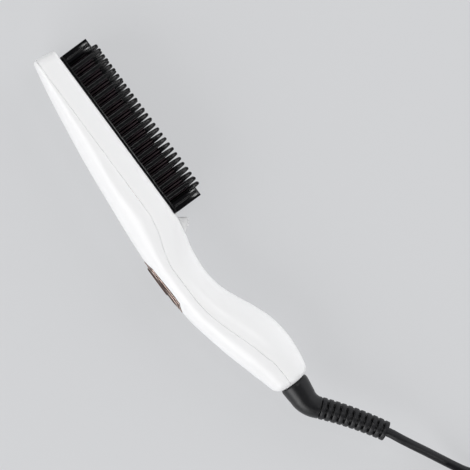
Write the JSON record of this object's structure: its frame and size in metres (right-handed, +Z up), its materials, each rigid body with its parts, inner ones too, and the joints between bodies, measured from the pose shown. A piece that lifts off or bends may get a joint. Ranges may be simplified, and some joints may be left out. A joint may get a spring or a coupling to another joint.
{
  "type": "heated straightening comb",
  "caption": "Hand-held heated comb for straightening beard and hair, with a curved two-shell handle, push button, lift-off comb, swivelling cord and mains plug.",
  "frame": {"origin": "on the flat flank of the head, in line with the middle of the comb, at the height of the swivel's end of the handle's centre line; the comb lies on this flank", "axes": "+X from the tip to the cord end, +Y the way the teeth point, +Z up from the flank the comb lies on, across the comb's width"},
  "size_m": [0.4369, 0.1245, 0.044],
  "materials": {
    "white_shell": "glossy white ABS",
    "black_comb": "glossy black heat-resistant nylon",
    "copper_trim": "copper-plated plastic, satin",
    "black_plastic": "satin black plastic",
    "switch_body": "moulded plastic",
    "light_guide": "clear acrylic, polished",
    "green_board": "solder-masked glass fibre board",
    "components": "moulded component cases",
    "steel": "zinc-plated steel",
    "heated_metal": "brown ceramic-coated aluminium",
    "heater_case": "ceramic element in an aluminium case",
    "insulator": "mica-filled heat-resistant plastic",
    "brass": "bare brass",
    "red_silicone": "silicone insulation over copper",
    "blue_lead": "soft plastic insulation over copper",
    "cord_jacket": "soft black cord plastic, satin",
    "strap": "woven hook-and-loop strap",
    "nickel": "nickel-plated brass"
  },
  "bodies": {
    "handle": {"front_shell": "white_shell", "back_shell": "white_shell", "button_trim": "copper_trim", "tact_switch": "switch_body", "status_light": "light_guide", "circuit_board": "green_board", "board_parts": "components", "board_screws": "steel", "comb_frame": "black_comb", "heating_plate": "heated_metal", "ptc_heater": "heater_case", "heater_clamp": "steel", "heat_shield": "insulator", "thermostat": "brass", "thermal_fuse": "steel", "heater_leads": "red_silicone", "power_leads": "blue_lead", "latch_spring": "steel", "shell_screws": "steel", "contact_block": "black_plastic"},
    "button": {"power_button": "copper_trim", "switch_plunger": "black_plastic"},
    "latch": {"comb_latch": "white_shell"},
    "swivel": {"slip_rings": "brass", "swivel_collar": "black_plastic", "cord_elbow": "black_plastic", "strain_relief": "cord_jacket", "cord_lead": "cord_jacket", "cord_coil": "cord_jacket", "cord_tail": "cord_jacket", "coil_tie": "strap", "plug_body": "cord_jacket", "plug_pins": "nickel"}
  },
  "joints": [
    {"name": "button_press", "type": "slide", "parent": "handle", "child": "button", "axis": [0, 1, 0], "range_m": [0, 0.0008], "stiffness_N_per_m": 1500, "springref_m": -0.0005},
    {"name": "latch_slide", "type": "slide", "parent": "handle", "child": "latch", "axis": [1, 0, 0], "range_m": [0, 0.003], "stiffness_N_per_m": 400, "springref_m": -0.001, "deforming": ["latch_spring"]},
    {"name": "cord_swivel", "type": "hinge", "parent": "handle", "child": "swivel", "pos_m": [0.183, 0.0051, 0.022], "axis": [1, 0, 0], "continuous": true}
  ]
}
